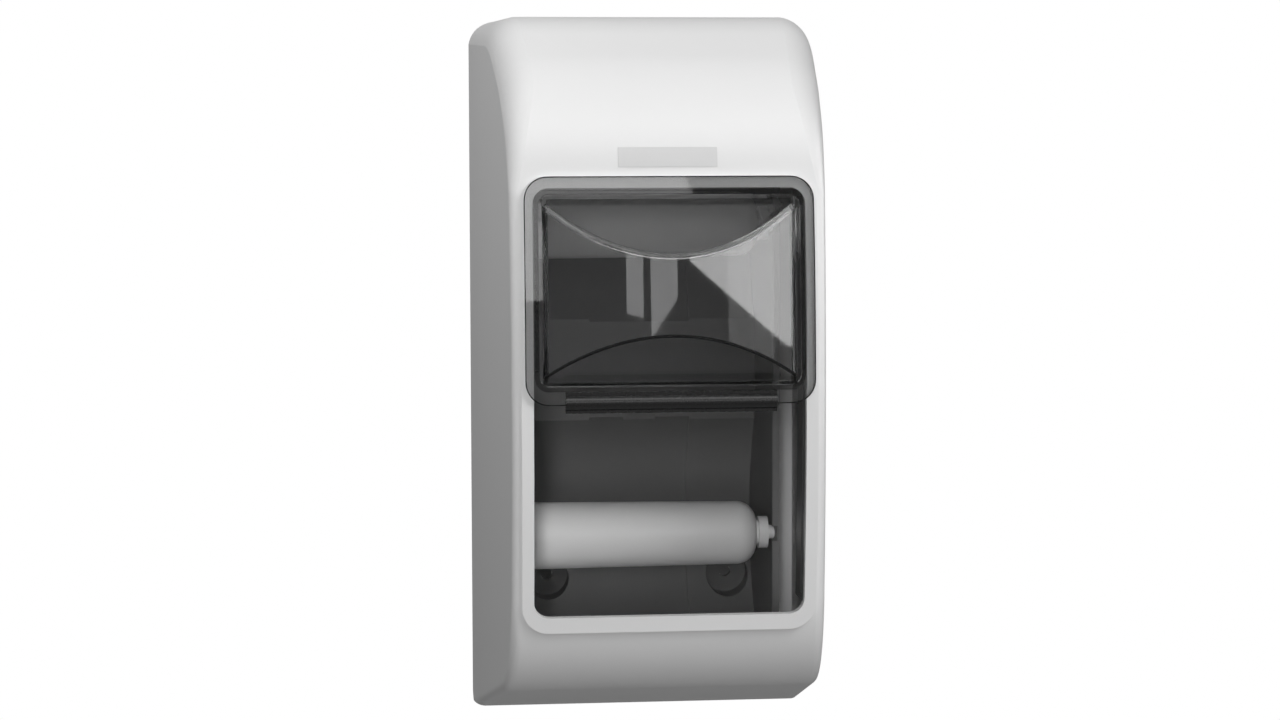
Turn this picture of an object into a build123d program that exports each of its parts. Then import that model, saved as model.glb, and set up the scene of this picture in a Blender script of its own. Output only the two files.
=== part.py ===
from build123d import *
from math import asin, atan2, cos, degrees, pi, radians, sin, sqrt, tan
import os

# Double roll toilet paper dispenser, in millimetres.
# The origin is on the wall plane, in the middle of the back, and the front faces -Y.
# X runs to the right and Z up, and "out" is a distance from the wall towards the front.

# Cover: overall sizes
height = 313.0
side_gap = 20.0             # from the tray to the cover's edge at the wall
side_draw = 11.8            # each side draws in by this much towards the front
front_out = 156.0           # from the wall to the crest of the bowed front
bow_radius = 600.0          # front face, seen from the side
bow_z = -10.0               # height of the crest
cover_wall = 2.5
wall_gap = 1.0              # between the cover's back edge and the wall
overrun = 5.0               # how far every cut runs past what it cuts
running = 0.3               # gap between pieces that pass each other
shaft_fit = 0.05            # radial gap of a shaft or pin in its hole

# Cover: side profile
level_depth = 80.0          # from the wall to where the level top turns down
level_radius = 70.0
brow_drop = 32.0            # from the top down to where its slope would meet the bow
brow_radius = 62.0
chin_rise = 36.0            # from the bottom up to where its slope would meet the bow
chin_radius = 52.0
heel_out = 16.5             # the bottom starts this far from the wall
shoulder_back_radius = 12.0  # side edges of the top, at the wall
shoulder_radius = 16.0      # side edges of the brow
jaw_radius = 4.0            # side edges of the front and the chin
shoulder_drop = 30.5        # the soft edges start to tighten this far under the top
runout_drop = 8.0           # and run out this far under the window's top
runout_share = 0.6          # of the tight radius, left where the soft edges run out
crossing = 9                # degrees at which the soft edges meet the flats
corner_step = 9.0

# Window and its raised rim
window_margin = 8.5         # from the window to the cover's side at the crest
window_bottom_rise = 65.0   # from the cover's bottom
window_top_drop = 72.5      # from the cover's top
window_corner = 6.5
rim_width = 4.9
rim_bottom_width = 6.5
rim_rise = 1.5
rim_corner = 11.0

# Roll spindles
roll_diameter = 130.0
roll_width = 100.0
spindle_out = 74.0
lower_spindle_rise = 87.2   # from the cover's bottom
upper_spindle_drop = 90.2   # from the cover's top
spindle_start_gap = 0.8     # from the sleeve's fixed end to the tray's side wall
spindle_end_gap = 6.8       # from its sprung end to the other side wall
spindle_radius = 14.6       # at the fixed end
spindle_tip_radius = 13.7   # at the sprung end
spindle_wall = 2.2
spindle_dome = 8.5
spindle_edge = 2.0
head_radius = 7.0
head_length = 4.0
tip_radius = 3.0
tip_length = 4.2
plunger_seat = 8.2          # solid end of the spindle that guides the plunger
neck_radius = 5.2
neck_length = 1.6
neck_depth = 0.5            # of the neck inside the spindle's end
collar_length = 3.0
spring_wire = 0.6
spring_radius = 6.0
spring_turns = 7
spring_length = 26.0
plug_length = 9.0
ramp_shallow = 0.6
ramp_deep = 2.2

# Tray that the wall screws hold
roll_side_gap = 3.0
tray_wall = 3.0
tray_bottom_rise = 22.5     # from the cover's bottom
tray_top_drop = 33.0        # from the cover's top
trough_gap = 3.0            # between a full roll and the trough
side_wall_lap = 6.0         # of the side walls in front of the spindles' axes
side_wall_above = 37.7      # over the upper spindle's axis
side_wall_below = 44.7      # under the lower spindle's axis
side_wall_corner = 16.0
tray_depth = 22.8           # from the wall to the flat between the troughs
channel_width = 46.0
channel_depth = 1.2
channel_reach = 46.0        # up and down from the spindle's axis
notch_width = 14.7
notch_height = 3.0
notch_depth = 1.6
flank_reach = 14.5          # of the tray's thin flanks, from its side walls to beside the cover
flank_depth = 2.0
flank_end = 6.0             # from the tray's top and bottom to the flanks' ends
screw_edge = 11.4           # from the screws to the side walls' inner faces
screw_bottom_rise = 36.0    # from the tray's bottom
screw_top_drop = 28.5       # from the tray's top
screw_hole_radius = 2.75
well_radius = 9.75
well_wall = 2.4
well_pad = 3.6
tray_rib_x = 22.0
tray_pad_half = 16.0        # half the height of the solid pad behind each trough's floor

# Hinge at the bottom
pivot_out = 11.0
pivot_rise = 8.0            # from the cover's bottom
pivot_pin_radius = 2.5
pivot_head_radius = 4.5
pivot_head_length = 2.5
pivot_ear_radius = 5.5
pivot_boss_radius = 6.0
pivot_end_gap = 1.0
hinge_gap = 1.0
swing_gap = 0.5             # from the cover's corner to the wall while it swings

# Shutter
shutter_height = 92.4
shutter_lap = 3.5           # of the shutter over each side of the window
shutter_corner = 9.5
shutter_wall = 1.8
flange_thickness = 2.0
pan_inset = 4.0             # from the shutter's edge to its pan, at the sides
pan_end_inset = 5.5         # and at the ends
pan_depth = 5.6             # from the flange's front to the back of the groove's floor
groove_width = 2.2
bow_crest = 15.0            # how far the window of the shutter stands out of the cover
bow_face_radius = 103.0
bow_end_draft = 1.5
bow_end_radius = 3.0
bow_edge_radius = 1.2
bow_top_drop = 24.0         # the crest of the window starts this far under its top
bow_bottom_rise = 18.0
bow_root = 20.0             # how far the window's block runs back before it is trimmed
travel_spare = 1.5          # left under the shutter's pan when it is right down
bar_length = 86.0
bar_radius = 3.4
bar_proud = 3.0             # of the bar's round nose over the flange
bar_below = 3.0             # of the bar under the flange's edge
bar_lip = 1.2

# Rails and slides of the shutter
rail_width = 4.6
rail_depth = 20.0
rail_end = 4.0
rail_play = 2.0             # left under the slide when the shutter is right down
groove_height = 4.0         # of the rail's groove, from front to back
groove_reach = 2.6
groove_rise = -5.8          # front of the groove, from the cover's front face
slide_length = 66.0
slide_foot = 2.5            # the slide's web runs this far past its tongue

# Name plate, bare
plate_width = 40.6
plate_height = 8.0
plate_rise = 12.5           # from the window's top to the middle of the plate
plate_thickness = 1.0
plate_proud = 0.2

# Lock
lock_inset = 3.0            # from the lock to where the level top turns down
lock_radius = 8.0
lock_flange_radius = 9.2
lock_flange = 1.2
lock_depth = 21.0
lock_nut_radius = 10.5
lock_nut_height = 4.5
keyway_width = 2.2
keyway_length = 9.0
keyway_depth = 5.0
cam_length = 21.0
cam_width = 8.0
cam_thickness = 2.0
cam_screw_radius = 1.5
cam_screw_head_radius = 3.0
cam_screw_head = 2.0
cam_screw_length = 10.0     # of its hole in the barrel
keeper_thickness = 2.0
keeper_inner_x = 9.6
keeper_width = 13.0
keeper_drop = 2.4           # from the tongue's underside to the keeper's arm
keeper_gap = 0.8
keeper_back = 5.0
keeper_rise = 1.5           # of the tab over the tongue
keeper_screw_radius = 1.8
keeper_screw_head_radius = 3.4
keeper_screw_head = 2.0
keeper_screw_length = 6.0

# Places worked out from the sizes above
top_z = height / 2
bottom_z = -height / 2
brow_z = top_z - brow_drop
chin_z = bottom_z + chin_rise
shoulder_z = top_z - shoulder_drop
window_bottom_z = bottom_z + window_bottom_rise
window_top_z = top_z - window_top_drop
runout_z = window_top_z - runout_drop
plate_z = window_top_z + plate_rise
lower_spindle_z = bottom_z + lower_spindle_rise
upper_spindle_z = top_z - upper_spindle_drop
middle_z = (lower_spindle_z + upper_spindle_z) / 2
trough_radius = roll_diameter / 2 + trough_gap
tray_inner_width = roll_width + 2 * roll_side_gap
tray_width = tray_inner_width + 2 * tray_wall
tray_bottom_z = bottom_z + tray_bottom_rise
tray_top_z = top_z - tray_top_drop
flank_x = tray_width / 2 + flank_reach
side_wall_out = spindle_out + side_wall_lap
side_wall_top_z = upper_spindle_z + side_wall_above
side_wall_bottom_z = lower_spindle_z - side_wall_below
pivot_z = bottom_z + pivot_rise
back_width = tray_width + 2 * side_gap
front_width = back_width - 2 * side_draw
side_slope = side_draw / front_out
window_width = front_width - 2 * window_margin


def bow_out(z):
    """How far the bowed front face stands out of the wall at a height."""
    return front_out - bow_radius + sqrt(bow_radius**2 - (z - bow_z) ** 2)


def half_width(out):
    """Half the cover's width at a distance from the wall."""
    return back_width / 2 - side_slope * out


on_top = (Align.CENTER, Align.CENTER, Align.MIN)
under = (Align.CENTER, Align.CENTER, Align.MAX)


def nearest(shape, x, y):
    """The corner of a flat outline that is nearest to a place."""
    return shape.vertices().sort_by(lambda v: (v.X - x) ** 2 + (v.Y - y) ** 2)[0]


def across(outline, width):
    """A side outline, drawn as (-out, z), made a solid of a width across X."""
    return extrude(Plane.YZ * outline, width / 2, both=True)


def box_between(low_x, high_x, near_out, far_out, low_z, high_z):
    """A block between two places on each axis."""
    size = (high_x - low_x, far_out - near_out, high_z - low_z)
    centre = ((low_x + high_x) / 2, -(near_out + far_out) / 2, (low_z + high_z) / 2)
    return Pos(*centre) * Box(*size)


def along_x(low_x, high_x, radius):
    """A round bar along X, on the X axis."""
    return Pos((low_x + high_x) / 2, 0, 0) * Rot(0, 90, 0) * Cylinder(radius, high_x - low_x)


def facing(low_x, high_x, low_z, high_z, corner):
    """A rounded rectangle that faces the front, drawn on the wall plane."""
    outline = RectangleRounded(high_x - low_x, high_z - low_z, corner)
    return Plane.XZ * Pos((low_x + high_x) / 2, (low_z + high_z) / 2) * outline


def bow_band(inner_rise, outer_rise, width):
    """A curved sheet between two heights over the cover's bowed front face."""
    centre = Pos(bow_radius - front_out, bow_z)
    ring = Circle(bow_radius + outer_rise) - Circle(bow_radius + inner_rise)
    reach = Pos(-front_out, 0) * Rectangle(front_out, height)
    return across((centre * ring) & reach, width)


def bow_frame(outline, inner_rise, outer_rise):
    """The part of such a sheet that lies inside an outline facing the front."""
    depth = front_out + bow_crest
    return extrude(outline, depth, dir=(0, -1, 0)) & bow_band(inner_rise, outer_rise, back_width)


# Cover


def side_profile():
    """Side outline of the cover, from its level top over the brow to the chin. It runs on into the wall."""
    behind = overrun + cover_wall
    brow = (-bow_out(brow_z), brow_z)
    chin = (-bow_out(chin_z), chin_z)
    heel = (-heel_out, bottom_z)
    knee = (-level_depth, top_z)
    lines = Polyline(chin, heel, (behind, bottom_z), (behind, top_z), knee, brow)
    outline = make_face(Curve() + [lines, ThreePointArc(brow, (-front_out, bow_z), chin)])
    for place, radius in ((knee, level_radius), (brow, brow_radius), (chin, chin_radius)):
        outline = fillet(nearest(outline, *place), radius)
    return outline


def wedge(inset, near_out, far_out, low_z, high_z):
    """A block whose sides draw in with the cover's, an inset from its outside."""
    near, far = half_width(near_out) - inset, half_width(far_out) - inset
    plan = Polyline((-near, -near_out), (near, -near_out), (far, -far_out), (-far, -far_out), close=True)
    return Pos(0, 0, low_z) * extrude(make_face(plan), high_z - low_z)


def cover_body(inset, edge_radius):
    """The cover's outer form, or its hollow, with one radius along the side edges."""
    profile = side_profile()
    if inset:
        profile = offset(profile, -inset)
    body = across(profile, 2 * back_width) & wedge(inset, -3 * overrun, front_out + overrun, -height, height)
    long_edges = [edge for edge in body.edges() if abs(edge.center().X) > front_width / 4]
    return fillet([edge for edge in long_edges if edge.center().Y < -heel_out / 2], edge_radius)


def edge_places(inset):
    """Places along the cover's side edge from the wall to beside the window, each with its outward normal."""
    profile = side_profile()
    if inset:
        profile = offset(profile, -inset)
    places = []
    for edge in sorted(profile.edges(), key=lambda edge: edge.center().X, reverse=True):
        if edge.center().Y < bow_z - overrun or edge.center().X > overrun / 2:
            continue
        drop = (edge @ 0) - (edge @ 1)
        forward = drop.X + drop.Y > 0
        steps = max(1, round(edge.length / corner_step))
        for step in range(steps + 1):
            share = step / steps if forward else 1 - step / steps
            place, along = edge @ share, edge % share
            normal = Vector(along.Y, -along.X) if forward else Vector(-along.Y, along.X)
            fresh = not places or (place - places[-1][0]).length > corner_step / 2
            if fresh and place.Y > runout_z:
                places.append((place, normal))
    start, normal = places[0]
    return [(start + Vector(2 * overrun, 0), normal)] + places


def corner_section(place, normal, inset):
    """Outline of what the soft edge takes off the cover's corner, square to the profile at a place."""
    share = min(1, (place.Y - runout_z) / (shoulder_z - runout_z))
    end_radius = (jaw_radius - inset) * runout_share
    swell = min(1, max(0, -place.X) / level_depth)
    full_radius = shoulder_back_radius + swell * (shoulder_radius - shoulder_back_radius) - inset
    radius = end_radius + share * (full_radius - end_radius)
    draft = atan2(side_slope * -normal.X, 1)
    depth = radius * cos(radians(crossing))
    half = half_width(-place.X) - inset
    centre_x = half + (depth * sin(draft) - depth) / cos(draft)
    turns = (pi / 2, (pi / 2 + draft) / 2, draft)
    points = [(centre_x + radius * cos(turn), radius * sin(turn) - depth) for turn in turns]
    beyond = half + overrun
    rim = Polyline(points[2], (beyond, points[2][1]), (beyond, overrun), (points[0][0], overrun), points[0])
    outline = make_face(Curve() + [ThreePointArc(*points), rim])
    side_on = Vector(1, 0, 0)
    square = side_on.cross(Vector(0, normal.X, normal.Y))
    return Plane(origin=(0, place.X, place.Y), x_dir=side_on, z_dir=square) * outline


def cover_form(inset):
    """Tight side edges beside the window, which swell over the brow into soft shoulders."""
    body = cover_body(inset, jaw_radius - inset)
    corner = loft([corner_section(place, normal, inset) for place, normal in edge_places(inset)])
    return body - corner - mirror(corner, Plane.YZ)


def cover_hollow():
    """The space inside the cover, open to the wall and behind the foot of the bottom."""
    foot = wedge(cover_wall, -3 * overrun, heel_out, bottom_z - overrun, bottom_z + heel_out)
    return cover_form(cover_wall) + foot


def window_outline(grow_side, grow_end, corner):
    """The window's outline, grown by a margin at the sides and at the ends."""
    half = window_width / 2 + grow_side
    return facing(-half, half, window_bottom_z - grow_end, window_top_z + grow_side, corner)


def hinge_bosses():
    """Bosses inside the cover's sides that the hinge pins enter."""
    inner = tray_width / 2 + hinge_gap
    outer = half_width(pivot_out) - cover_wall / 2
    boss = Pos(0, -pivot_out, pivot_z) * along_x(inner, outer, pivot_boss_radius)
    return boss + mirror(boss, Plane.YZ)


def brow_slope():
    """Fall of the cover's top towards the front, in radians."""
    return atan2(top_z - brow_z, bow_out(brow_z) - level_depth)


def lock_place(rise=0.0):
    """The lock's upright axis, with its origin a rise over the cover's level top."""
    level_end = level_depth - level_radius * tan(brow_slope() / 2)
    return Pos(0, lock_inset + lock_flange_radius - level_end, top_z + rise)


def swing_cut():
    """What the cover's lower back corner loses so that it clears the wall while the cover swings."""
    corner = box_between(-back_width, back_width, -3 * overrun, pivot_out, bottom_z - overrun, pivot_z)
    return corner - Pos(0, -pivot_out, pivot_z) * along_x(-back_width, back_width, pivot_out - swing_gap)


def lock_seat():
    """What the lock's barrel and its flange take out of the cover's top."""
    seat = lock_place(-lock_flange) * Cylinder(lock_flange_radius + shaft_fit, lock_depth, align=on_top)
    return seat + lock_place() * Cylinder(lock_radius + shaft_fit, 2 * lock_depth)


def cover():
    """White moulded cover with its window, raised rim, hinge bosses and lock seat."""
    rim = window_outline(rim_width, rim_bottom_width, rim_corner)
    shell = cover_form(0) + bow_frame(rim, -cover_wall, rim_rise) - cover_hollow()
    opening = extrude(window_outline(0, 0, window_corner), front_out + bow_crest, dir=(0, -1, 0))
    shell -= opening & box_between(-window_width, window_width, front_out / 2, 2 * front_out, -height, height)
    shell += hinge_bosses()
    shell += lock_place(-lock_flange - cover_wall) * Cylinder(lock_nut_radius, cover_wall, align=on_top)
    reach = half_width(pivot_out) - cover_wall
    shell -= Pos(0, -pivot_out, pivot_z) * along_x(-reach, reach, pivot_pin_radius + shaft_fit)
    shell -= lock_seat() + swing_cut() + plate_prism(shaft_fit, 0, plate_thickness - plate_proud)
    return shell - box_between(-back_width, back_width, -3 * overrun, wall_gap, -height, height)


def plate_prism(gap, proud, depth):
    """The name plate's block, following the cover's front face."""
    profile = side_profile()
    outer = offset(profile, proud) if proud else profile
    sheet = across(outer - offset(profile, -depth), plate_width + 2 * gap)
    return sheet & box_between(-back_width, back_width, front_out / 2, 2 * front_out,
                               plate_z - plate_height / 2 - gap, plate_z + plate_height / 2 + gap)


def label_plate():
    """Bare grey plate let into the cover over the window."""
    return plate_prism(0, plate_proud, plate_thickness - plate_proud)


# Tray


def tray_floor_outline():
    """Side outline of the tray's floor: two troughs with a flat ridge between them."""
    tray_middle = (tray_bottom_z + tray_top_z) / 2
    block = Pos(-tray_depth / 2, tray_middle) * Rectangle(tray_depth, tray_top_z - tray_bottom_z)
    for axis_z in (lower_spindle_z, upper_spindle_z):
        block -= Pos(-spindle_out, axis_z) * Circle(trough_radius)
    return block


def screw_places():
    """The four wall screws, as (x, z)."""
    x = tray_inner_width / 2 - screw_edge
    low_z, high_z = tray_bottom_z + screw_bottom_rise, tray_top_z - screw_top_drop
    return [(-x, low_z), (x, low_z), (-x, high_z), (x, high_z)]


def along_out(x, z, near_out, far_out, radius):
    """A round bar square to the wall."""
    return Pos(x, -near_out, z) * Rot(90, 0, 0) * Cylinder(radius, far_out - near_out, align=on_top)


def tray_side(sign):
    """One side wall of the tray, with the slot that a spindle's tip snaps into and the hinge ear."""
    corner = side_wall_corner
    outline = Pos(-side_wall_out / 2, (side_wall_top_z + side_wall_bottom_z) / 2)
    outline = outline * RectangleRounded(side_wall_out, side_wall_top_z - side_wall_bottom_z, corner)
    back = Pos(-corner / 2, (tray_top_z + tray_bottom_z) / 2) * Rectangle(corner, tray_top_z - tray_bottom_z)
    ear_height = tray_bottom_z + tray_wall - pivot_z
    ear = Pos(-pivot_out, pivot_z) * Circle(pivot_ear_radius)
    ear += Pos(-pivot_out, pivot_z + ear_height / 2) * Rectangle(2 * pivot_ear_radius, ear_height)
    plate = extrude(Plane.YZ * (outline + back + ear), tray_wall)
    for axis_z in (lower_spindle_z, upper_spindle_z):
        plate -= Pos(0, -spindle_out, axis_z) * along_x(-overrun, overrun, tip_radius + shaft_fit)
    plate -= Pos(0, -pivot_out, pivot_z) * along_x(-overrun, overrun, pivot_pin_radius + shaft_fit)
    plate = Pos(tray_inner_width / 2, 0, 0) * plate
    return plate if sign > 0 else mirror(plate, Plane.YZ)


def tip_ramp(axis_z):
    """The shallow ramp that leads a spindle's tip from the wall's front edge to its hole."""
    inner = tray_inner_width / 2
    ramp = Polyline((inner - overrun, -side_wall_out), (inner + ramp_deep, -side_wall_out),
                    (inner + ramp_shallow, -spindle_out), (inner - overrun, -spindle_out), close=True)
    return Pos(0, 0, axis_z) * extrude(make_face(ramp), tip_radius + running, both=True)


def tray():
    """Dark tray that the wall screws hold: two troughs, side walls, screw wells and hinge ears."""
    floor = tray_floor_outline()
    body = across(floor, tray_inner_width)
    pocket = offset(floor, -tray_wall)
    pocket += Pos(overrun, 0) * pocket
    for axis_z in (lower_spindle_z, upper_spindle_z):
        pocket -= Pos(0, axis_z) * Rectangle(front_out, 2 * tray_pad_half)
    ribs = (-tray_inner_width / 2 + tray_wall, -tray_rib_x, tray_rib_x, tray_inner_width / 2 - tray_wall)
    for left, right in zip(ribs[:-1], ribs[1:]):
        span = box_between(left + tray_wall / 2, right - tray_wall / 2, -overrun, front_out, -height, height)
        body -= across(pocket, tray_inner_width) & span
    solid_floor = across(floor, tray_inner_width)
    for x, z in screw_places():
        body += along_out(x, z, 0, spindle_out, well_radius + well_wall) & solid_floor
    reach = tray_inner_width / 2
    body += box_between(-reach, reach, 0, spindle_out, -tray_wall / 2, tray_wall / 2) & solid_floor
    for x, z in screw_places():
        body -= along_out(x, z, well_pad, spindle_out, well_radius)
        body -= along_out(x, z, -overrun, spindle_out, screw_hole_radius)
    for axis_z in (lower_spindle_z, upper_spindle_z):
        channel = Pos(-spindle_out, axis_z) * Circle(trough_radius + channel_depth)
        span = box_between(-channel_width, channel_width, well_pad / 2, front_out,
                           axis_z - channel_reach, axis_z + channel_reach)
        body -= across(channel, channel_width) & span
    ridge_z = lower_spindle_z + sqrt(trough_radius**2 - (spindle_out - tray_depth) ** 2)
    notch_top = ridge_z + notch_height
    body -= box_between(-notch_width / 2, notch_width / 2, tray_depth - notch_depth, front_out,
                        notch_top - 2 * notch_height, notch_top)
    body += tray_side(1) + tray_side(-1)
    for near, far in ((reach, flank_x), (-flank_x, -reach)):
        body += box_between(near, far, 0, flank_depth, tray_bottom_z + flank_end, tray_top_z - flank_end)
    for axis_z in (lower_spindle_z, upper_spindle_z):
        body -= tip_ramp(axis_z) + mirror(tip_ramp(axis_z), Plane.YZ)
    for x, out in keeper_screw_places():
        body -= Pos(x, -out, tray_top_z) * Cylinder(keeper_screw_radius + shaft_fit, 2 * keeper_screw_length)
    return body


# Hinge and keeper


def hinge_pins():
    """Two steel pins that carry the cover on the tray's ears."""
    inner = tray_inner_width / 2
    end = half_width(pivot_out) - cover_wall - pivot_end_gap
    pin = along_x(inner - pivot_head_length, end, pivot_pin_radius)
    pin += along_x(inner - pivot_head_length, inner - shaft_fit, pivot_head_radius)
    pin = Pos(0, -pivot_out, pivot_z) * pin
    return [pin, mirror(pin, Plane.YZ)]


def tongue_place():
    """Middle of the lock's tongue, as (out, z)."""
    middle = (lock_place(-lock_depth - cam_thickness / 2)).position
    return -middle.Y, middle.Z


def keeper_screw_places():
    """The keeper's two screws, as (x, out)."""
    middle = keeper_inner_x + keeper_width / 2
    first = keeper_back + keeper_screw_head_radius
    return [(middle, first), (middle, first + 2 * keeper_screw_head_radius + running)]


def lock_keeper():
    """Bent steel strip on the tray's top, whose upright tab holds the lock's tongue back."""
    tongue_out, tongue_z = tongue_place()
    arm_top = tongue_z - cam_thickness - keeper_drop + keeper_thickness
    tab_out = tongue_out + cam_width / 2 + keeper_gap
    right = keeper_inner_x + keeper_width
    base_far = keeper_screw_places()[1][1] + keeper_screw_head_radius + keeper_thickness
    base = box_between(keeper_inner_x, right, keeper_back - keeper_gap, base_far,
                       tray_top_z, tray_top_z + keeper_thickness)
    arm = box_between(keeper_inner_x, right, base_far - keeper_thickness, tab_out + keeper_thickness,
                      arm_top - keeper_thickness, arm_top)
    step = box_between(keeper_inner_x, right, base_far - keeper_thickness, base_far, tray_top_z, arm_top)
    tab = box_between(keeper_inner_x, right, tab_out, tab_out + keeper_thickness,
                      arm_top - keeper_thickness, tongue_z + cam_thickness + keeper_rise)
    keeper = base + arm + step + tab
    for x, out in keeper_screw_places():
        keeper -= Pos(x, -out, tray_top_z) * Cylinder(keeper_screw_radius + shaft_fit, height / 2)
    return keeper


def keeper_screws():
    """Two pan head screws through the keeper into the tray's top."""
    screws = []
    for x, out in keeper_screw_places():
        seat = tray_top_z + keeper_thickness
        head = Cylinder(keeper_screw_head_radius, keeper_screw_head, align=on_top)
        head = fillet(head.edges().group_by(Axis.Z)[-1], keeper_screw_head / 2)
        shank = Cylinder(keeper_screw_radius, keeper_screw_length, align=under)
        screws.append(Pos(x, -out, seat) * (head + shank))
    return screws


# Lock


def down(radius, top, length):
    """A round bar that runs down the lock's axis from a depth under the cover's top."""
    return lock_place(-top) * Cylinder(radius, length, align=under)


def lock_barrel():
    """Turning barrel with a keyway, its flange flush in the cover's top."""
    barrel = down(lock_flange_radius, 0, lock_flange) + down(lock_radius, 0, lock_depth)
    slot = Box(keyway_width, keyway_length, 2 * keyway_depth)
    barrel -= lock_place() * (slot + Rot(0, 0, 90) * slot)
    return barrel - down(cam_screw_radius + shaft_fit, lock_depth - cam_screw_length, lock_depth)


def lock_nut():
    """Ring nut under the cover's top that clamps the lock."""
    seat = lock_flange + cover_wall
    flats = lock_place(-seat) * extrude(RegularPolygon(lock_nut_radius, 6), -lock_nut_height)
    return flats - down(lock_radius + shaft_fit, 0, lock_depth)


def lock_cam():
    """Tongue under the barrel. It points at the wall when the lock is open."""
    arm = SlotOverall(cam_length + cam_width / 2, cam_width, rotation=90)
    arm = Pos(0, cam_length / 2 - cam_width / 4) * arm + Circle(lock_radius - running)
    arm -= Circle(cam_screw_radius + shaft_fit)
    return lock_place(-lock_depth) * extrude(arm, -cam_thickness)


def cam_screw():
    """Screw that holds the tongue on the barrel."""
    top = lock_depth + cam_thickness
    start = lock_depth - cam_screw_length + running
    return down(cam_screw_head_radius, top, cam_screw_head) + down(cam_screw_radius, start, top - start)


# Shutter


shutter_width = window_width + 2 * shutter_lap
shutter_top_z = window_top_z + rim_width
shutter_bottom_z = shutter_top_z - shutter_height
flange_back = rim_rise + running
flange_front = flange_back + flange_thickness
pan_back = flange_front - pan_depth
pan_half = shutter_width / 2 - pan_inset
pan_top_z = shutter_top_z - pan_end_inset
pan_bottom_z = shutter_bottom_z + pan_end_inset
shutter_turn = (pan_bottom_z - window_bottom_z - travel_spare) / bow_radius
window_half = pan_half - shutter_wall - groove_width
bow_top_z = pan_top_z - shutter_wall - groove_width
bow_bottom_z = pan_bottom_z + shutter_wall + groove_width


def pan_outline(inset):
    """Outline of the shutter's pan, which fits in the cover's window."""
    half = pan_half - inset
    corner = shutter_corner - pan_inset - inset / 2
    return facing(-half, half, pan_bottom_z + inset, pan_top_z - inset, corner)


def bow_block(inset):
    """The shutter's bowed window: round in plan, with its top and bottom sloped back."""
    crest = front_out + bow_crest - inset
    radius = bow_face_radius - inset
    half = window_half - inset
    neck = half - bow_end_draft
    root = front_out - bow_root
    shoulder = crest - radius + sqrt(radius**2 - neck**2)
    rim = Polyline((neck, -shoulder), (half, -root), (-half, -root), (-neck, -shoulder))
    plan = make_face(Curve() + [rim, ThreePointArc((-neck, -shoulder), (0, -crest), (neck, -shoulder))])
    for x in (-neck, neck):
        plan = fillet(nearest(plan, x, -shoulder), bow_end_radius - inset)
    top, bottom = bow_top_z - inset, bow_bottom_z + inset
    lean = inset * tan(radians(45) / 2)
    base = bow_out(bow_bottom_z)
    side = Polyline((-root, top), (-base + lean, top), (-crest, bow_top_z - bow_top_drop - lean),
                    (-crest, bow_bottom_z + bow_bottom_rise + lean), (-base + lean, bottom),
                    (-root, bottom), close=True)
    block = Pos(0, 0, -height / 2) * extrude(plan, height) & across(make_face(side), back_width)
    tilt = atan2(base - bow_out(bow_top_z), bow_top_z - bow_bottom_z)
    foot = Pos(0, -base, bow_bottom_z)
    return foot * Rot(degrees(-tilt), 0, 0) * foot.inverse() * block


def bar_strip(gap, rise):
    """The bar's strip in the shutter's lower flange, grown by a gap."""
    half = bar_length / 2 + gap
    outline = facing(-half, half, shutter_bottom_z - bar_below, pan_bottom_z - shaft_fit + gap, bar_lip / 4)
    return bow_frame(outline, flange_back, rise)


def shutter():
    """Clear grey shutter: flange on the rim, groove, and a window bowed out between its sloped ends."""
    outline = facing(-shutter_width / 2, shutter_width / 2, shutter_bottom_z, shutter_top_z, shutter_corner)
    body = bow_frame(outline, flange_back, flange_front)
    body += bow_frame(pan_outline(0), pan_back, flange_front)
    body -= bow_frame(pan_outline(shutter_wall), pan_back + shutter_wall, flange_front + overrun)
    outer = bow_block(0)
    front_edges = [e for e in outer.edges() if -e.center().Y > front_out - bow_root / 4]
    outer = fillet(front_edges, bow_edge_radius)
    body += outer - bow_band(-front_out, pan_back, back_width)
    body -= bow_block(shutter_wall)
    return body - bar_strip(shaft_fit, flange_front + overrun)


def tear_bar():
    """Dark bar along the shutter's lower edge, a round grip between two lips."""
    half = bar_length / 2
    low = shutter_bottom_z - bar_below
    wing = bar_strip(0, flange_front)
    middle = (low + pan_bottom_z) / 2
    nose_out = bow_out(middle) + flange_front + bar_proud - bar_radius
    nose = Pos(0, -nose_out, middle) * along_x(-half, half, bar_radius)
    lip_out = bow_out(middle) + flange_front
    for z in (low, pan_bottom_z - shaft_fit - bar_lip):
        nose += box_between(-half, half, lip_out - flange_thickness / 2, lip_out + bar_lip, z, z + bar_lip)
    return wing + (nose - bow_band(-front_out, flange_back, back_width))


slide_bottom_z = (pan_bottom_z + pan_top_z - slide_length) / 2
slide_top_z = slide_bottom_z + slide_length


def shutter_slide(sign):
    """Slide behind one side of the shutter. Its tongue runs in the rail's groove."""
    inner, corner = pan_half - shutter_wall, shutter_wall / 4
    reach = window_width / 2 + groove_reach - running
    back = groove_rise - groove_height
    web = bow_frame(facing(inner, pan_half, slide_bottom_z, slide_top_z, corner), back - slide_foot, pan_back)
    tongue = facing(inner, reach, slide_bottom_z, slide_top_z, corner)
    tongue = bow_frame(tongue, back + running, groove_rise - running)
    slide = web + tongue
    return slide if sign > 0 else mirror(slide, Plane.YZ)


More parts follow.
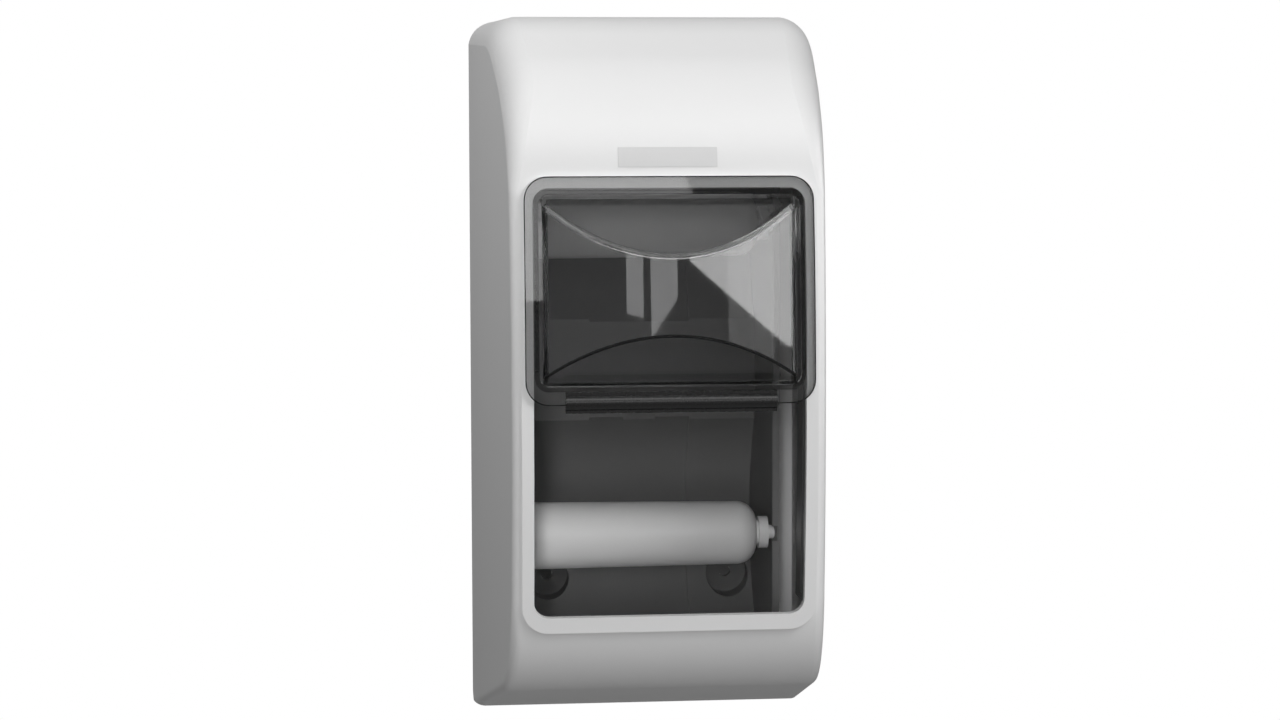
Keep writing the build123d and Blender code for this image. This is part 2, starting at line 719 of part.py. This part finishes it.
def shutter_rail(sign):
    """Dark curved rail inside the cover beside the window, with the groove that the slide runs in."""
    inner, corner = window_width / 2, rail_width / 4
    groove_top_z = slide_top_z + running
    lowest = asin((slide_bottom_z - bow_z) / bow_radius) - shutter_turn
    groove_bottom_z = bow_z + bow_radius * sin(lowest) - rail_play
    rail = facing(inner, inner + rail_width, groove_bottom_z - rail_end, groove_top_z + rail_end, corner)
    rail = bow_frame(rail, -cover_wall - rail_depth, -cover_wall)
    groove = facing(inner - overrun, inner + groove_reach, groove_bottom_z, groove_top_z, corner / 2)
    rail -= bow_frame(groove, groove_rise - groove_height, groove_rise)
    return rail if sign > 0 else mirror(rail, Plane.YZ)


# Spindles


bore_radius = spindle_tip_radius - spindle_wall
spindle_start_x = spindle_start_gap - tray_inner_width / 2
spindle_end_x = tray_inner_width / 2 - spindle_end_gap
seat_x = spindle_end_x - plunger_seat
head_end_x = spindle_end_x - neck_depth + neck_length + head_length


def spindle_place(axis_z):
    return Pos(0, -spindle_out, axis_z)


def turned(points):
    """A turned piece from its outline of (x, radius) steps."""
    outline = [(points[0][0], 0)] + list(points) + [(points[-1][0], 0)]
    return revolve(make_face(Polyline(*outline, close=True)), Axis.X)


def spindle(axis_z):
    """White hollow spindle, slightly tapered, with a domed end round the plunger."""
    fixed_corner = (spindle_start_x, spindle_radius)
    sprung_corner = (spindle_end_x, spindle_tip_radius)
    corners = [(spindle_start_x, 0), fixed_corner, sprung_corner, (spindle_end_x, 0)]
    outline = make_face(Polyline(*corners, close=True))
    outline = fillet(nearest(outline, *sprung_corner), spindle_dome - shaft_fit)
    outline = fillet(nearest(outline, *fixed_corner), spindle_edge)
    body = revolve(outline, Axis.X)
    body -= along_x(spindle_start_x - overrun, seat_x, bore_radius)
    body -= along_x(seat_x - overrun, spindle_end_x + overrun, head_radius + shaft_fit)
    return spindle_place(axis_z) * body


def spindle_plug(axis_z):
    """Plug that closes the spindle's fixed end, with its tip and the spring's seat."""
    end = spindle_start_x
    spring_start = seat_x - running - collar_length - spring_length
    seat_radius = spring_radius + 2 * spring_wire
    steps = [(-head_end_x - tip_length, tip_radius), (end, tip_radius), (end, bore_radius - shaft_fit),
             (end + plug_length, bore_radius - shaft_fit), (end + plug_length, seat_radius),
             (spring_start, seat_radius)]
    return spindle_place(axis_z) * turned(steps)


def spindle_plunger(axis_z):
    """Sprung end of the spindle, pressed in to free it from the tray."""
    collar_end = seat_x - running
    neck_start = spindle_end_x - neck_depth
    head_start = neck_start + neck_length
    steps = [(collar_end - collar_length, bore_radius - shaft_fit), (collar_end, bore_radius - shaft_fit),
             (collar_end, head_radius), (neck_start, head_radius), (neck_start, neck_radius),
             (head_start, neck_radius), (head_start, head_radius), (head_end_x, head_radius),
             (head_end_x, tip_radius), (head_end_x + tip_length, tip_radius)]
    return spindle_place(axis_z) * turned(steps)


def spindle_spring(axis_z):
    """Coil spring that holds the plunger out."""
    gap = spring_wire + shaft_fit
    start = seat_x - running - collar_length - spring_length + gap
    length = spring_length - 2 * gap
    path = Helix(pitch=length / spring_turns, height=length, radius=spring_radius)
    ring = Plane(origin=path @ 0, z_dir=path % 0) * Circle(spring_wire)
    return spindle_place(axis_z) * Pos(start, 0, 0) * Rot(0, 90, 0) * sweep(ring, path)


nodes = {
    "tray": tray(),
    "hinge_pins": hinge_pins(),
    "lock_keeper": lock_keeper(),
    "keeper_screws": keeper_screws(),
    "cover": cover(),
    "label_plate": label_plate(),
    "left_shutter_rail": shutter_rail(-1),
    "right_shutter_rail": shutter_rail(1),
    "lock_nut": lock_nut(),
    "lock_barrel": lock_barrel(),
    "lock_cam": lock_cam(),
    "cam_screw": cam_screw(),
    "shutter": shutter(),
    "tear_bar": tear_bar(),
    "left_shutter_slide": shutter_slide(-1),
    "right_shutter_slide": shutter_slide(1),
}
for place, axis_z in (("upper", upper_spindle_z), ("lower", lower_spindle_z)):
    nodes[place + "_spindle"] = spindle(axis_z)
    nodes[place + "_spindle_plug"] = spindle_plug(axis_z)
    nodes[place + "_spindle_plunger"] = spindle_plunger(axis_z)
    nodes[place + "_spindle_spring"] = spindle_spring(axis_z)

os.makedirs("parts", exist_ok=True)
for name, piece in nodes.items():
    if isinstance(piece, list):
        piece = Compound(children=piece)
    export_step(piece, "parts/" + name + ".step")
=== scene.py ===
from math import cos, pi, radians, sin, sqrt

import bpy
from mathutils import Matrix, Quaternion, Vector


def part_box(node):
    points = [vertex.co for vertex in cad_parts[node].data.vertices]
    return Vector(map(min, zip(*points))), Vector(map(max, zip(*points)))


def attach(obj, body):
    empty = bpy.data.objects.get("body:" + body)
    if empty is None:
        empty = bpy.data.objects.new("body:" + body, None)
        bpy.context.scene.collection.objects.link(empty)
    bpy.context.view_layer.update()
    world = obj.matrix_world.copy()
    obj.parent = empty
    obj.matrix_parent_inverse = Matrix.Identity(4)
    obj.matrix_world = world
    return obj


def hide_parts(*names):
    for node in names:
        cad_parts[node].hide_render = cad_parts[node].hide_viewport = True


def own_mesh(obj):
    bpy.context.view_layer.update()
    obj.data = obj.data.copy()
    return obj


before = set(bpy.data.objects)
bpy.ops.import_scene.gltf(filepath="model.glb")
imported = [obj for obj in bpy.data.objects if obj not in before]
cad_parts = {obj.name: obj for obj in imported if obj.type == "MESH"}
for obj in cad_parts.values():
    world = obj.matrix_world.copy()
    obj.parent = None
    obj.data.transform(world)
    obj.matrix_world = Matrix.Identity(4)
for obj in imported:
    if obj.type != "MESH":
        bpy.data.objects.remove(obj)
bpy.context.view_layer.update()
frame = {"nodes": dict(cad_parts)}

nodes = frame["nodes"]

# Camera.
# It stands a little left of the dispenser and a little above its middle, with a long lens,
# and its shift puts the dispenser where the photograph has it.
camera_target = Vector((0, -0.075, 0.0276))
camera_turn = radians(5.753)
camera_lift = radians(4.02)
camera_roll = -0.0021
camera_distance = 1.165
level = cos(camera_lift)
toward_camera = Vector((-sin(camera_turn) * level, -cos(camera_turn) * level, sin(camera_lift)))
camera_data = bpy.data.cameras.new("camera")
camera_data.lens = 75.2
camera_data.sensor_width = 36.0
camera_data.shift_x = -0.0082
camera_data.shift_y = -0.0363
camera_data.clip_end = 20.0
camera = bpy.data.objects.new("camera", camera_data)
camera.location = camera_target + toward_camera * camera_distance
looking = (-toward_camera).to_track_quat("-Z", "Y")
camera.rotation_euler = (looking @ Quaternion((0, 0, 1), camera_roll)).to_euler()
bpy.context.scene.collection.objects.link(camera)
bpy.context.scene.camera = camera
bpy.context.scene.view_settings.view_transform = "Standard"


# Cover.
# One white ABS moulding, open at the back, with the fine satin grain of a spark-eroded mould.
# It turns on the tray's ears and carries the shutter's rails and the lock.
class Nodes:
    """A node tree, with one method that adds any node."""

    def __init__(self, tree):
        self.tree = tree

    def add(self, kind, settings, sockets, output=0):
        node = self.tree.nodes.new(kind)
        for name, value in settings.items():
            setattr(node, name, value)
        for name, value in sockets.items():
            if isinstance(value, Socket):
                self.tree.links.new(value.socket, node.inputs[name])
            else:
                node.inputs[name].default_value = value
        return Socket(self, node.outputs[output])


class Socket:
    """An output socket, on which + - and * add Math nodes."""

    def __init__(self, nodes, socket):
        self.nodes = nodes
        self.socket = socket

    def math(self, operation, first, second):
        return self.nodes.add("ShaderNodeMath", {"operation": operation}, {0: first, 1: second})

    def __add__(self, other):
        return self.math("ADD", self, other)

    def __rsub__(self, other):
        return self.math("SUBTRACT", other, self)

    def __mul__(self, other):
        return self.math("MULTIPLY", self, other)


class Finish(Nodes):
    """A material with one Principled shader, whose constant values are given by name."""

    def __init__(self, name, **constants):
        self.material = bpy.data.materials.new(name)
        self.material.use_nodes = True
        super().__init__(self.material.node_tree)
        self.shader = self.tree.nodes["Principled BSDF"]
        for key, value in constants.items():
            self.shader.inputs[key.replace("_", " ")].default_value = value
        self.place = self.add("ShaderNodeTexCoord", {}, {}, "Object")

    def noise(self, scale, detail=2.0):
        """Even noise from 0 to 1, with its cells so many to the metre."""
        sockets = {"Vector": self.place, "Scale": scale, "Detail": detail}
        return self.add("ShaderNodeTexNoise", {}, sockets, "Fac")

    def colour(self, factor, dark, light):
        """A grey that runs between two values."""
        mix = self.tree.nodes.new("ShaderNodeMix")
        mix.data_type = "RGBA"
        self.tree.links.new(factor.socket, mix.inputs["Factor"])
        mix.inputs["A"].default_value = (dark, dark, dark, 1)
        mix.inputs["B"].default_value = (light, light, light, 1)
        self.tree.links.new(mix.outputs["Result"], self.shader.inputs["Base Color"])

    def roughness(self, socket):
        self.tree.links.new(socket.socket, self.shader.inputs["Roughness"])

    def bump(self, height, depth):
        """Raises the surface by up to a depth in metres."""
        normal = self.add("ShaderNodeBump", {}, {"Height": height, "Distance": depth})
        self.tree.links.new(normal.socket, self.shader.inputs["Normal"])

    def coat(self, piece):
        """Makes this the only finish of a piece."""
        piece.data.materials.clear()
        piece.data.materials.append(self.material)

    def give(self, *names):
        """Coats CAD nodes."""
        for name in names:
            self.coat(nodes[name])


white_plastic = Finish("white_plastic", IOR=1.5)
grain = white_plastic.noise(2600.0)
cloud = white_plastic.noise(9.0, 3.0)
white_plastic.colour(cloud, 0.80, 0.82)
white_plastic.roughness(grain * 0.06 + 0.36)
white_plastic.bump(grain, 0.00002)
white_plastic.give("cover")

# Returns.
# A narrow white ledge inside each side wall of the cover, moulded with it near the wall.
# It stiffens the long edge and closes the view past the tray.
return_inner_x = 0.0640
return_outer_x = 0.0742
return_near = 0.0033
return_far = 0.0048
return_low_z = -0.128
return_high_z = 0.118
return_edge = 0.0006
smooth_angle = radians(40)
for side, sign in (("left", -1), ("right", 1)):
    bpy.ops.object.select_all(action="DESELECT")
    ledge_middle = (sign * (return_inner_x + return_outer_x) / 2,
                    -(return_near + return_far) / 2,
                    (return_low_z + return_high_z) / 2)
    bpy.ops.mesh.primitive_cube_add(size=1.0, location=ledge_middle)
    ledge = bpy.context.object
    ledge.name = side + "_cover_return"
    ledge.scale = (return_outer_x - return_inner_x,
                   return_far - return_near,
                   return_high_z - return_low_z)
    bpy.ops.object.transform_apply(location=True, rotation=False, scale=True)
    bpy.ops.object.mode_set(mode="EDIT")
    bpy.ops.mesh.select_all(action="DESELECT")
    bpy.ops.object.mode_set(mode="OBJECT")
    for edge in ledge.data.edges:
        ends = [ledge.data.vertices[index].co for index in edge.vertices]
        edge.select = all(abs(end.x) < return_inner_x + return_edge for end in ends)
    bpy.ops.object.mode_set(mode="EDIT")
    bpy.ops.mesh.bevel(offset=return_edge, segments=4, affect="EDGES")
    bpy.ops.object.mode_set(mode="OBJECT")
    bpy.ops.object.shade_smooth_by_angle(angle=smooth_angle)
    white_plastic.coat(ledge)
    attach(ledge, "cover_body")

# Plate.
# A bare grey satin plate let into the cover over the window.
# It is held by its own edge and has nothing on it.
plate_grey = Finish("plate_grey")
grain = plate_grey.noise(3200.0)
plate_grey.colour(grain, 0.66, 0.69)
plate_grey.roughness(grain * 0.08 + 0.42)
plate_grey.bump(grain, 0.00001)
plate_grey.give("label_plate")

# Rails.
# Two near black satin strips behind the cover's face, one each side of the window.
# The shutter's slides run in their grooves.
rail_black = Finish("rail_black")
grain = rail_black.noise(1800.0)
rail_black.colour(grain, 0.07, 0.085)
rail_black.roughness(grain * 0.1 + 0.3)
rail_black.bump(grain, 0.00001)
rail_black.give("left_shutter_rail", "right_shutter_rail")

# Bar.
# A gloss black grip along the shutter's lower edge.
# It is fixed to the shutter and slides with it.
gloss_black = Finish("gloss_black")
grain = gloss_black.noise(900.0)
gloss_black.colour(grain, 0.012, 0.016)
gloss_black.roughness(grain * 0.04 + 0.24)
gloss_black.give("tear_bar")

# Shutter.
# Clear polycarbonate dyed smoke grey, with a flange that lies on the window's rim,
# a groove, and a middle bowed out between two sloped ends, widened here toward the flange.
dye_grey = 0.02
dye_density = 185.0
smoke_clear = Finish("smoke_clear", IOR=1.5, Transmission_Weight=1.0)
haze = smoke_clear.noise(40.0, 3.0)
smoke_clear.colour(haze, 0.94, 0.97)
smoke_clear.roughness(haze * 0.02 + 0.01)
dye_sockets = {"Color": (dye_grey, dye_grey, dye_grey, 1), "Density": dye_density}
dye = smoke_clear.add("ShaderNodeVolumeAbsorption", {}, dye_sockets)
clear_output = smoke_clear.tree.nodes["Material Output"]
smoke_clear.tree.links.new(dye.socket, clear_output.inputs["Volume"])
smoke_clear.give("left_shutter_slide", "right_shutter_slide")

block_half = 0.0512
block_low_z = 0.0060
block_high_z = 0.0794
block_grow = 0.0021
block_side_margin = 0.0001
block_end_margin = 0.0003
block_middle_z = (block_low_z + block_high_z) / 2
block_half_height = (block_high_z - block_low_z) / 2
merge_distance = 0.000001


def widen_block(point):
    """Moves a point of the bowed block out, the more the nearer it is to the groove."""
    point.x += block_grow * (point.x / block_half) ** 3
    point.z += block_grow * ((point.z - block_middle_z) / block_half_height) ** 3


def merged_copy(node, name):
    """A copy of a CAD node as a new piece, its doubles merged and its shading kept."""
    piece = nodes[node].copy()
    piece.data = nodes[node].data.copy()
    piece.name = name
    bpy.context.scene.collection.objects.link(piece)
    shading = [corner.vector.copy() for corner in piece.data.corner_normals]
    bpy.ops.object.select_all(action="DESELECT")
    piece.select_set(True)
    bpy.context.view_layer.objects.active = piece
    bpy.ops.object.mode_set(mode="EDIT")
    bpy.ops.mesh.select_all(action="SELECT")
    bpy.ops.mesh.remove_doubles(threshold=merge_distance)
    bpy.ops.object.mode_set(mode="OBJECT")
    piece.data.normals_split_custom_set(shading)
    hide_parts(node)
    return piece


shutter_clear = merged_copy("shutter", "shutter_clear")
for vertex in shutter_clear.data.vertices:
    in_width = abs(vertex.co.x) < block_half + block_side_margin
    in_height = abs(vertex.co.z - block_middle_z) < block_half_height + block_end_margin
    if in_width and in_height:
        widen_block(vertex.co)
smoke_clear.coat(shutter_clear)
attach(shutter_clear, "shutter_body")

# Shutter beads.
# A clear rounded bead moulded along the upper curved edge of the shutter's window. The black
# line along the lower curved edge and the fine dark line round the flange's edge are painted
# shade.
# Painted shade: a near black finish with little gloss, for the dark lines laid where the
# shutter's edges fall into shade.
painted_shade_black = Finish("painted_shade_black", Specular_IOR_Level=0.1)
grain = painted_shade_black.noise(1500.0)
painted_shade_black.colour(grain, 0.008, 0.014)
painted_shade_black.roughness(grain * 0.1 + 0.5)

bow_crest_out = 0.171
bow_face_radius = 0.103
bow_base_out = 0.1558
bow_lean = radians(5.06)


def bow_edge(x, end_z, run):
    """Point of a curved edge, where the bowed face meets the slope that ends at end_z."""
    out = bow_crest_out - bow_face_radius + sqrt(bow_face_radius ** 2 - x ** 2)
    z = end_z + run * (out - bow_base_out) / (bow_crest_out - bow_base_out)
    away = out - bow_base_out
    rise = z - block_low_z
    point = Vector((x, 0, 0))
    point.y = -(bow_base_out + away * cos(bow_lean) - rise * sin(bow_lean))
    point.z = block_low_z + rise * cos(bow_lean) + away * sin(bow_lean)
    widen_block(point)
    return point


def lay_bead(name, points, thick, finish, closed=False):
    """A round bead along a line of points."""
    bpy.ops.object.select_all(action="DESELECT")
    bpy.ops.curve.primitive_nurbs_path_add(location=(0, 0, 0))
    bead = bpy.context.object
    bead.name = name
    bead.data.splines.clear()
    line = bead.data.splines.new("NURBS")
    line.points.add(len(points) - 1)
    for spot, point in zip(line.points, points):
        spot.co = (point.x, point.y, point.z, 1)
    line.order_u = 3
    line.use_endpoint_u = not closed
    line.use_cyclic_u = closed
    bead.data.dimensions = "3D"
    bead.data.bevel_depth = thick
    bead.data.bevel_resolution = 5
    bead.data.use_fill_caps = not closed
    bpy.ops.object.convert(target="MESH")
    bpy.ops.object.shade_smooth_by_angle(angle=smooth_angle)
    finish.coat(bead)
    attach(bead, "shutter_body")


bead_steps = 24
bead_half = 0.0492
upper_run = -0.024
upper_thick = 0.0014
upper_sunk = Vector((0, 0.0014, 0))
lower_run = 0.018
lower_thick = 0.0006
lower_sunk = Vector((0, 0.0007, 0))
across = [bead_half * (2 * index / bead_steps - 1) for index in range(bead_steps + 1)]
upper = [bow_edge(x, block_high_z, upper_run) + upper_sunk for x in across]
lower = [bow_edge(x, block_low_z, lower_run) + lower_sunk for x in across]
lay_bead("upper_bead", upper, upper_thick, smoke_clear)
# The black line along the lower curved edge is painted shade.
lay_bead("lower_painted_shade_line", lower, lower_thick, painted_shade_black)

flange_half = 0.0592
flange_low_z = -0.0035
flange_high_z = 0.0889
flange_corner = 0.0095
flange_radius = 0.6038
flange_centre_out = -0.444
flange_centre_z = -0.010
flange_thick = 0.00022
flange_reach = flange_corner - flange_thick
corner_steps = 6
straight_steps = 10
straight_length = 0.02
outline = []
for side, end, start in ((1, 1, 0), (-1, 1, 90), (-1, -1, 180), (1, -1, 270)):
    end_z = flange_high_z if end > 0 else flange_low_z
    for part in range(corner_steps + 1):
        angle = radians(start + 90 * part / corner_steps)
        x = side * (flange_half - flange_corner) + flange_reach * cos(angle)
        z = end_z - end * flange_corner + flange_reach * sin(angle)
        outline.append(Vector((x, 0, z)))
flange = []
for first, second in zip(outline, outline[1:] + outline[:1]):
    parts = straight_steps if (second - first).length > straight_length else 1
    for part in range(parts):
        point = first.lerp(second, part / parts)
        rise = point.z - flange_centre_z
        out = flange_centre_out + sqrt((flange_radius - flange_thick / 2) ** 2 - rise ** 2)
        point.y = -out
        flange.append(point)
# The fine dark line round the flange's edge is painted shade.
lay_bead("flange_painted_shade_line", flange, flange_thick, painted_shade_black, closed=True)

# Tray.
# Dark grey satin moulding, screwed to the wall through its four wells.
# A trough lies behind each roll.
tray_grey = Finish("tray_grey")
grain = tray_grey.noise(2200.0)
cloud = tray_grey.noise(12.0, 3.0)
tray_grey.colour(cloud, 0.20, 0.215)
tray_grey.roughness(grain * 0.1 + 0.36)
tray_grey.bump(grain, 0.00002)
tray_grey.give("tray")

# Spindles.
# White satin mouldings with a sprung end, one for each roll.
# Their tips sit in the tray's side walls.
spindle_white = Finish("spindle_white")
grain = spindle_white.noise(2400.0)
spindle_white.colour(grain, 0.76, 0.79)
spindle_white.roughness(grain * 0.08 + 0.34)
spindle_white.bump(grain, 0.00002)
for row in ("upper", "lower"):
    spindle_white.give(row + "_spindle", row + "_spindle_plug", row + "_spindle_plunger")

# Steel parts.
# Hinge pins, the lock's nut, tongue and screw, the keeper and its screws.
# All are of steel and zinc plated, with a faintly uneven sheen.
zinc_steel = Finish("zinc_steel", Metallic=1.0)
grain = zinc_steel.noise(700.0, 4.0)
zinc_steel.colour(grain, 0.52, 0.62)
zinc_steel.roughness(grain * 0.16 + 0.24)
zinc_steel.bump(grain, 0.00001)
zinc_steel.give("hinge_pins")
zinc_steel.give("lock_nut", "lock_cam", "cam_screw", "lock_keeper", "keeper_screws")

# Springs.
# A coil of zinc plated wire in each spindle, behind its plunger.
# It closes up toward its fixed end as the plunger is pressed in.
for row in ("upper", "lower"):
    coil = merged_copy(row + "_spindle_spring", row + "_coil")
    zinc_steel.coat(coil)
    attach(coil, row + "_roll_spindle")
    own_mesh(coil)

# Lock.
# A light grey barrel turned by a key, flush with the cover's top.
# Its ring nut holds it from inside.
lock_grey = Finish("lock_grey")
grain = lock_grey.noise(2000.0)
lock_grey.colour(grain, 0.55, 0.60)
lock_grey.roughness(grain * 0.08 + 0.3)
lock_grey.bump(grain, 0.00001)
lock_grey.give("lock_barrel")

# Studio.
# A white world for the camera and for what shows through clear plastic, and under a fifth of
# it in gloss. The light that it sheds is far lower, and soft lamps and panels give the rest.
studio_level = 0.07
gloss_level = 0.18
world = bpy.data.worlds.new("studio")
bpy.context.scene.world = world
world.use_nodes = True
sky = Nodes(world.node_tree)
background = sky.tree.nodes["Background"]
background.inputs["Color"].default_value = (1, 1, 1, 1)
paths = sky.tree.nodes.new("ShaderNodeLightPath")
seen = Socket(sky, paths.outputs["Is Camera Ray"])
through = Socket(sky, paths.outputs["Is Transmission Ray"])
gloss = Socket(sky, paths.outputs["Is Glossy Ray"])
bounced = Socket(sky, paths.outputs["Diffuse Depth"])
direct = 1 - bounced.math("MINIMUM", bounced, 1.0)
white = seen + direct * through.math("MAXIMUM", through, gloss * gloss_level)
strength = white.math("MAXIMUM", white, studio_level)
sky.tree.links.new(strength.socket, background.inputs["Strength"])


def soft_lamp(name, place, target, size, level, roll=0.0, gloss=False, shows=True):
    """A rectangular lamp as bright as so many whites, that only lights, or only shows in gloss.

    Clear plastic lets it be seen as well, unless shows is off.
    """
    data = bpy.data.lights.new(name, "AREA")
    data.shape = "RECTANGLE"
    data.size = size[0]
    data.size_y = size[1]
    data.energy = level * pi * size[0] * size[1]
    lamp = bpy.data.objects.new(name, data)
    lamp.location = place
    aim = (Vector(target) - Vector(place)).to_track_quat("-Z", "Y")
    lamp.rotation_euler = (aim @ Quaternion((0, 0, 1), roll)).to_euler()
    lamp.visible_glossy = gloss
    lamp.visible_diffuse = not gloss
    lamp.visible_transmission = shows
    bpy.context.scene.collection.objects.link(lamp)


def gloss_panel(name, turn, away, low_z, size, level, roll=0.0):
    """A panel at a turn to the dispenser's right, for gloss and clear plastic to show."""
    turn = radians(turn)
    spot = (sin(turn) * away, shutter_front - cos(turn) * away, low_z + size[1] / 2)
    soft_lamp(name, spot, (0, shutter_front, spot[2]), size, level, roll, gloss=True)


middle = (0, -0.1, 0)
brow = (-0.08, -0.65, 0.35)
side_top = (0, -0.1, 0.1)
shutter_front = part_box("shutter")[0].y
soft_lamp("front_low", (-0.29, -2.18, 0.1), middle, (0.14, 0.7), 27.0, shows=False)
soft_lamp("front_high", (-0.29, -2.18, 0.9), brow, (0.14, 1.4), 12.5, shows=False)
soft_lamp("right_low", (1.1, -1.3, 0.3), middle, (0.6, 0.6), 2.6)
soft_lamp("right_high", (0.9, -1.2, 1.0), middle, (0.7, 0.7), 7.0)
soft_lamp("left_high", (-0.7, -0.15, 1.2), middle, (0.5, 0.5), 3.0)
soft_lamp("low", (-0.2, -1.4, -1.3), middle, (0.8, 0.8), 0.6)
soft_lamp("over", (-0.05, -0.3, 1.4), middle, (0.9, 0.9), 1.3)
soft_lamp("left_near", (-0.36, -0.16, 0.36), side_top, (0.2, 0.2), 3.7)
gloss_panel("right_panel", 38, 1.7, 0.188, (1.47, 0.3), 5.4, radians(-7.2))
gloss_panel("side_panel", 88, 1.4, -0.1, (1.1, 0.9), 4.0)
gloss_panel("left_band", -12.3, 2.0, 0.235, (0.28, 0.5), 2.4)
gloss_panel("middle_band", 1.2, 2.0, 0.235, (0.46, 0.5), 2.4, radians(6))
gloss_panel("brow_panel", 8, 1.3, 0.9, (3.2, 1.4), 2.2)

# Wall.
# Staged: a disc behind each screw hole stands for the wall, which shows through them.
# It is given the tray's grey finish as painted shade, for the wall lying in the tray's shadow.
screw_x = 0.0416
screw_low_z = -0.098
screw_high_z = 0.095
disc_y = -0.0002
disc_radius = 0.00272
bpy.ops.object.select_all(action="DESELECT")
for x in (-screw_x, screw_x):
    for z in (screw_low_z, screw_high_z):
        bpy.ops.mesh.primitive_circle_add(vertices=32, radius=disc_radius, fill_type="NGON",
                                          location=(x, disc_y, z), rotation=(pi / 2, 0, 0))
        disc = bpy.context.object
        disc.name = "painted_shade_wall_disc"
        # The tray's grey on each disc is painted shade for the wall in shadow.
        tray_grey.coat(disc)

# Floor.
# Staged: a pale floor well under the dispenser, out of the picture.
# It glows for the camera alone, so that it looks pale in the views from other sides.
floor_width = 6.0
floor_z = -2.0
floor_glow = 0.86
bpy.ops.object.select_all(action="DESELECT")
bpy.ops.mesh.primitive_plane_add(size=floor_width, location=(0, 0, floor_z))
floor = bpy.context.object
floor.name = "floor"
floor_pale = Finish("floor_pale", Roughness=0.6, Emission_Strength=1.0)
floor_pale.colour(floor_pale.noise(3.0), 0.78, 0.80)
paths = floor_pale.tree.nodes.new("ShaderNodeLightPath")
pale = Socket(floor_pale, paths.outputs["Is Camera Ray"]) * floor_glow
floor_pale.tree.links.new(pale.socket, floor_pale.shader.inputs["Emission Color"])
floor_pale.coat(floor)
